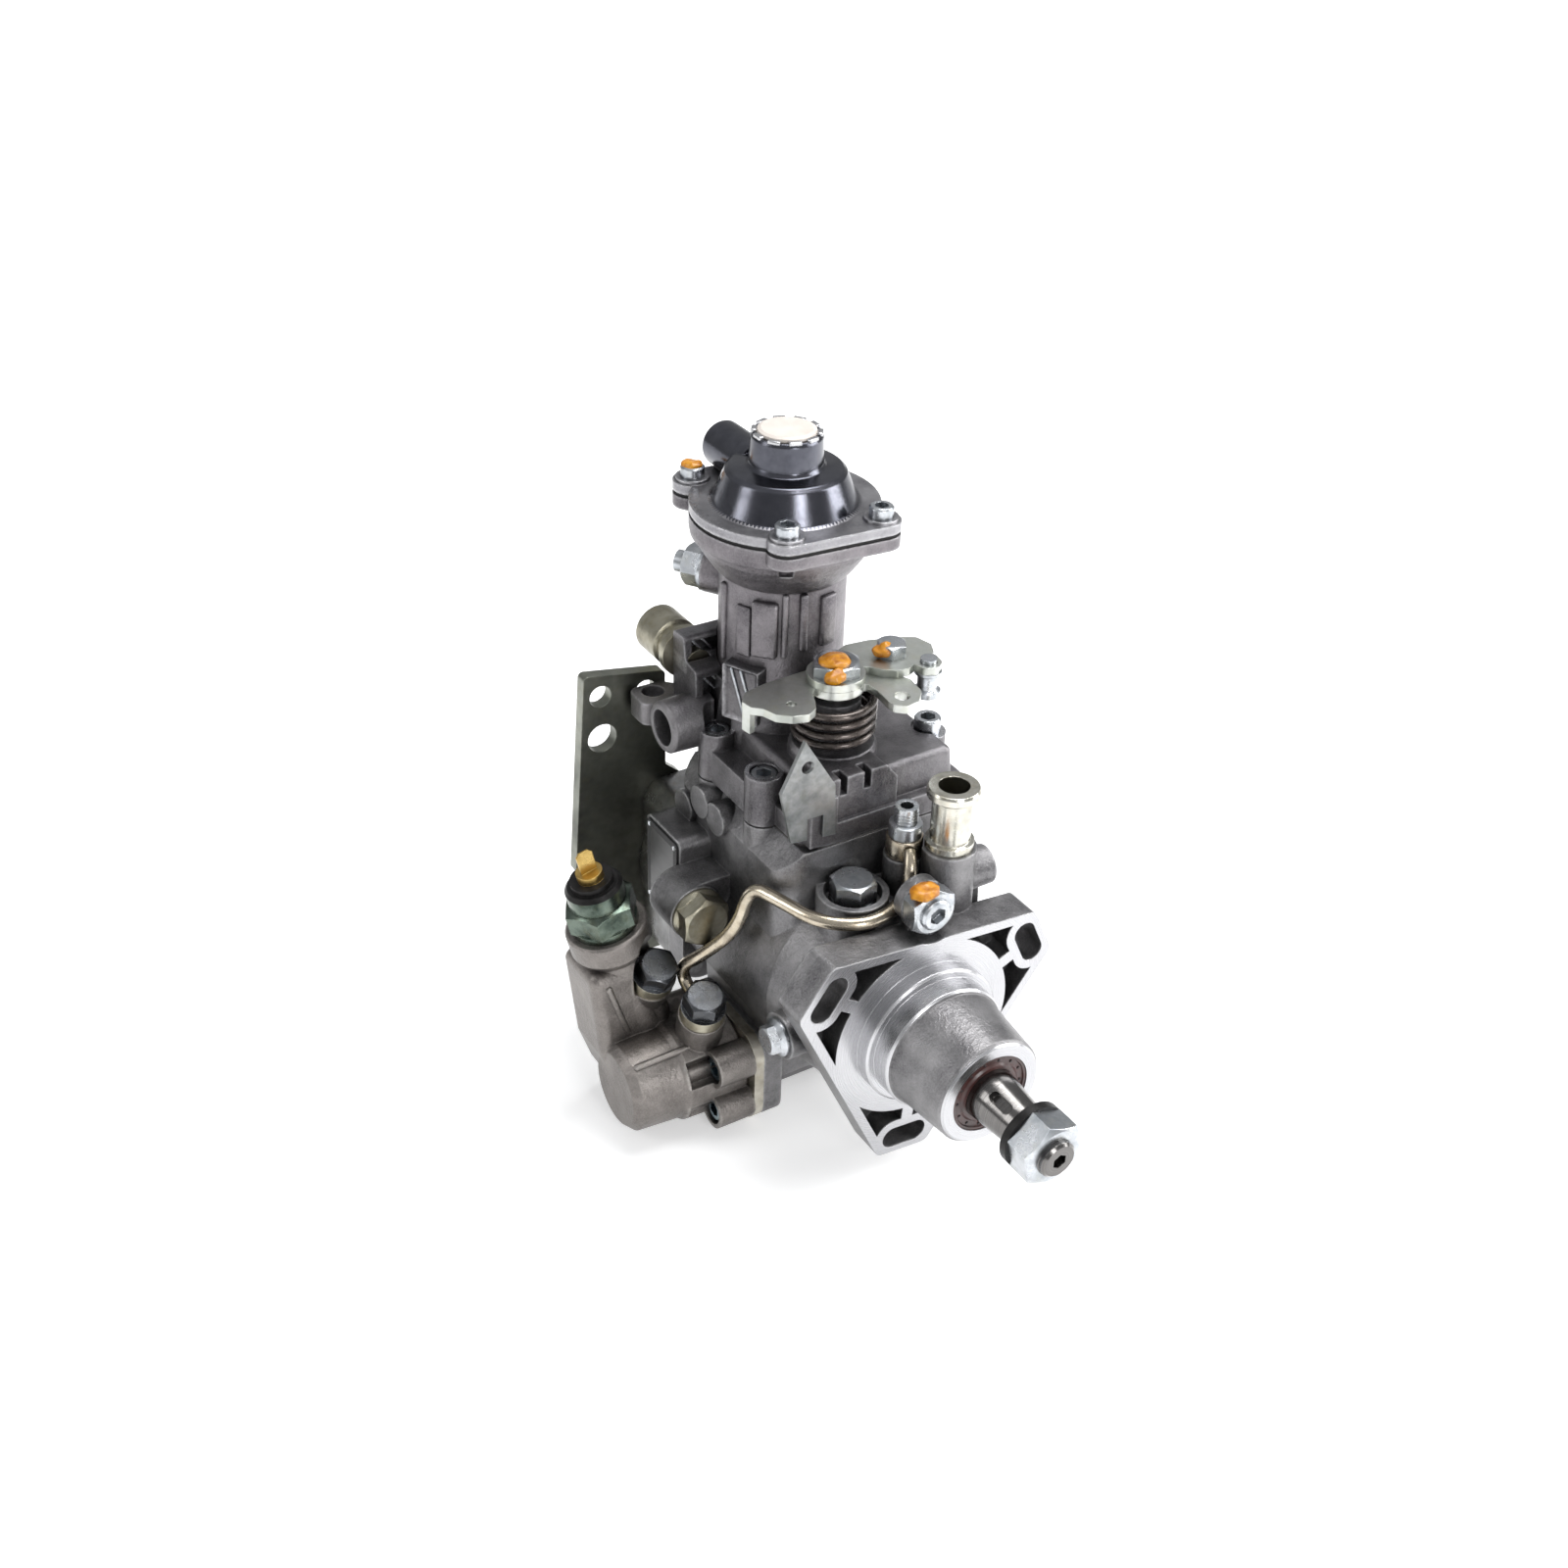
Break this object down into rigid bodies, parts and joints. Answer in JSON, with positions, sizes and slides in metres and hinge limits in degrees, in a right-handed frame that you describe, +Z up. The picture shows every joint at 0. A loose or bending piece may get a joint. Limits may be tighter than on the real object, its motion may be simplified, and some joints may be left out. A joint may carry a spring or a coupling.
{
  "type": "rotary diesel injection pump",
  "caption": "Rotary distributor diesel injection pump with a slotted drive flange, tapered shaft, governor cover with throttle lever, tall boost compensator and side cold-start advance.",
  "frame": {"origin": "centre of the drive shaft axis on the mounting flange's front face", "axes": "+Y along the shaft from the drive end to the fuel outlets, +Z up towards the boost compensator, +X to the right seen from the drive end"},
  "size_m": [0.1527, 0.2555, 0.2551],
  "materials": {
    "black_steel": "blackened",
    "bronze": "sintered",
    "cap": "bright pressed",
    "cast_body": "bead blasted cast",
    "cast_boost": "bead blasted cast",
    "cast_cold": "bead blasted cast",
    "cast_cover": "bead blasted cast",
    "dome": "polished die cast",
    "gasket": "matte",
    "nickel": "nickel plated",
    "plate": "satin sheet",
    "rubber": "matte",
    "seal": "satin",
    "spring_steel": "oiled",
    "steel": "ground",
    "zinc": "clear zinc plated",
    "zinc_plate": "zinc plated sheet"
  },
  "bodies": {
    "pump": {"housing": "cast_body", "shaft_seal": "seal", "shaft_bush": "bronze", "eccentric_ring": "steel", "feed_pump_cover": "steel", "governor_shaft": "steel", "housing_plugs": "zinc", "plunger_springs": "spring_steel", "distributor_head": "steel", "head_fittings": "black_steel", "shutoff_solenoid": "zinc", "rear_bracket": "zinc_plate", "head_bolts": "zinc", "governor_cover": "cast_cover", "cover_gasket": "gasket", "cover_screws": "zinc", "boost_body": "cast_boost", "boost_cover": "dome", "boost_cap": "cap", "boost_cover_screws": "zinc", "boost_diaphragm": "rubber", "boost_spring": "spring_steel", "boost_plug": "zinc", "full_load_cap": "zinc", "pressure_valve": "zinc", "inlet_stub": "nickel", "overflow_stud": "zinc", "bleed_pipe": "zinc", "cold_start_housing": "cast_cold", "cold_start_spacer": "zinc_plate", "timing_screws": "zinc", "cold_start_bolts": "zinc", "cold_start_solenoid": "zinc", "timing_cover": "cast_body", "timing_spring": "spring_steel", "lock_bolt": "zinc", "name_plate": "plate", "seal_tag": "zinc_plate", "throttle_spring": "spring_steel", "governor_spring": "spring_steel"},
    "drive": {"drive_shaft": "steel", "shaft_nut": "zinc", "shaft_washer": "black_steel", "feed_pump_rotor": "steel", "drive_gear": "steel", "cross_disc": "steel", "cam_plate": "steel", "plunger": "steel"},
    "governor": {"flyweight_carrier": "steel", "flyweights": "steel"},
    "sleeve": {"governor_sleeve": "steel"},
    "lever": {"governor_lever": "steel"},
    "collar": {"control_collar": "steel"},
    "timing": {"timing_piston": "cast_body"},
    "rollers": {"roller_ring": "steel"},
    "throttle": {"throttle_shaft": "steel", "throttle_lever_lower": "zinc_plate", "throttle_lever_upper": "zinc_plate", "throttle_fasteners": "zinc"},
    "boost": {"boost_pin": "steel"}
  },
  "joints": [
    {"name": "shaft_spin", "type": "hinge", "parent": "pump", "child": "drive", "pos_m": [0, 0, 0], "axis": [0, 1, 0], "continuous": true},
    {"name": "governor_spin", "type": "hinge", "parent": "pump", "child": "governor", "pos_m": [-0.007, 0, 0.0475], "axis": [0, 1, 0], "continuous": true},
    {"name": "sleeve_slide", "type": "slide", "parent": "pump", "child": "sleeve", "axis": [0, 1, 0], "range_m": [0, 0.002], "deforming": ["governor_spring"]},
    {"name": "lever_tilt", "type": "hinge", "parent": "pump", "child": "lever", "pos_m": [0, 0.1, 0.027], "axis": [-1, 0, 0], "range_deg": [0, 5.6], "deforming": ["governor_spring"]},
    {"name": "collar_slide", "type": "slide", "parent": "pump", "child": "collar", "axis": [0, 1, 0], "range_m": [-0.0016, 0]},
    {"name": "timing_slide", "type": "slide", "parent": "pump", "child": "timing", "axis": [1, 0, 0], "range_m": [0, 0.006], "deforming": ["timing_spring"]},
    {"name": "roller_ring_turn", "type": "hinge", "parent": "pump", "child": "rollers", "pos_m": [0, 0, 0], "axis": [0, -1, 0], "range_deg": [0, 7.64]},
    {"name": "throttle_turn", "type": "hinge", "parent": "pump", "child": "throttle", "pos_m": [0, 0.066, 0.1], "axis": [0, 0, -1], "range_deg": [0, 35], "stiffness_Nm_per_rad": 0.4, "springref_deg": -17.19, "deforming": ["throttle_spring", "governor_spring"]},
    {"name": "boost_slide", "type": "slide", "parent": "pump", "child": "boost", "axis": [0, 0, -1], "range_m": [0, 0.004], "stiffness_N_per_m": 4000, "deforming": ["boost_spring", "boost_diaphragm"]}
  ],
  "couplings": [
    {"joint": "governor_spin", "follows": "shaft_spin", "ratio": -1.6087},
    {"joint": "lever_tilt", "follows": "sleeve_slide", "rad_per_m": 48.78},
    {"joint": "collar_slide", "follows": "sleeve_slide", "ratio": -0.8},
    {"joint": "roller_ring_turn", "follows": "timing_slide", "rad_per_m": 22.222}
  ]
}
